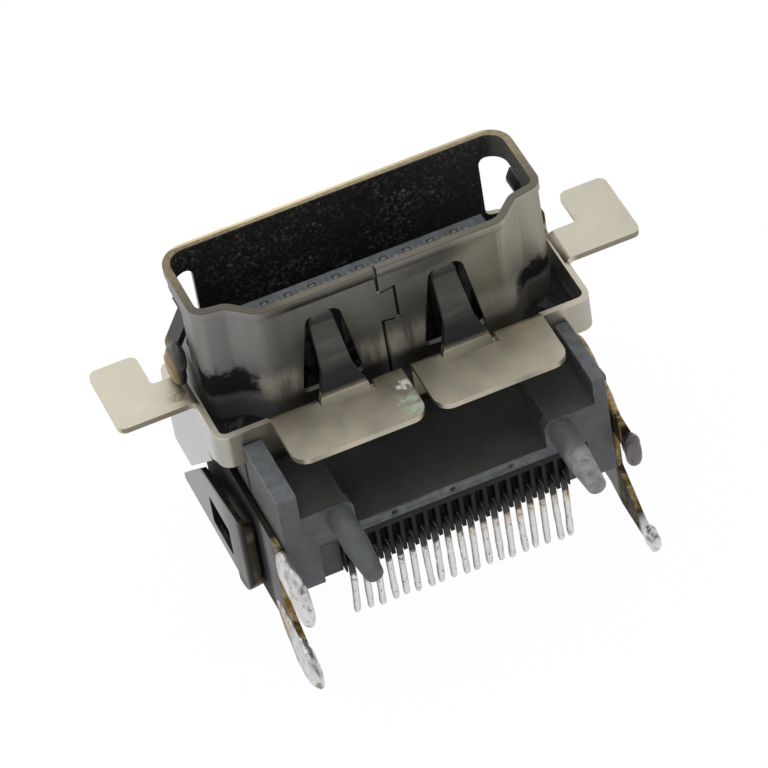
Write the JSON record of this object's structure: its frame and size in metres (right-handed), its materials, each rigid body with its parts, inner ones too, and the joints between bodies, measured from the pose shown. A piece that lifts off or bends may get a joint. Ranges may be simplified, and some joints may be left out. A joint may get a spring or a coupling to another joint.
{
  "type": "video socket",
  "caption": "Board-mounted digital video socket with a D-shaped plated mouth, flange tabs and ears, board legs, locating pegs and a row of soldering tails.",
  "frame": {"origin": "on the board plane, midway between the two locating pegs", "axes": "+Z out of the mouth, -Y into the board, X along the mouth's width"},
  "size_m": [0.022, 0.0147, 0.0132],
  "materials": {
    "outer_plate": "nickel-plated folded sheet, satin, slightly stained",
    "inner_plate": "nickel-plated drawn sheet, satin, dull",
    "cover_plate": "nickel-plated folded sheet",
    "housing_plastic": "moulded, charcoal, dusty",
    "comb_plastic": "moulded, black",
    "contact_metal": "tin-plated copper alloy with old solder"
  },
  "bodies": {
    "root": {"outer_shell": "outer_plate", "inner_shell": "inner_plate", "rear_cover": "cover_plate", "housing": "housing_plastic", "tail_comb": "comb_plastic", "contact_01": "contact_metal", "contact_02": "contact_metal", "contact_03": "contact_metal", "contact_04": "contact_metal", "contact_05": "contact_metal", "contact_06": "contact_metal", "contact_07": "contact_metal", "contact_08": "contact_metal", "contact_09": "contact_metal", "contact_10": "contact_metal", "contact_11": "contact_metal", "contact_12": "contact_metal", "contact_13": "contact_metal", "contact_14": "contact_metal", "contact_15": "contact_metal", "contact_16": "contact_metal", "contact_17": "contact_metal", "contact_18": "contact_metal", "contact_19": "contact_metal"}
  },
  "joints": []
}
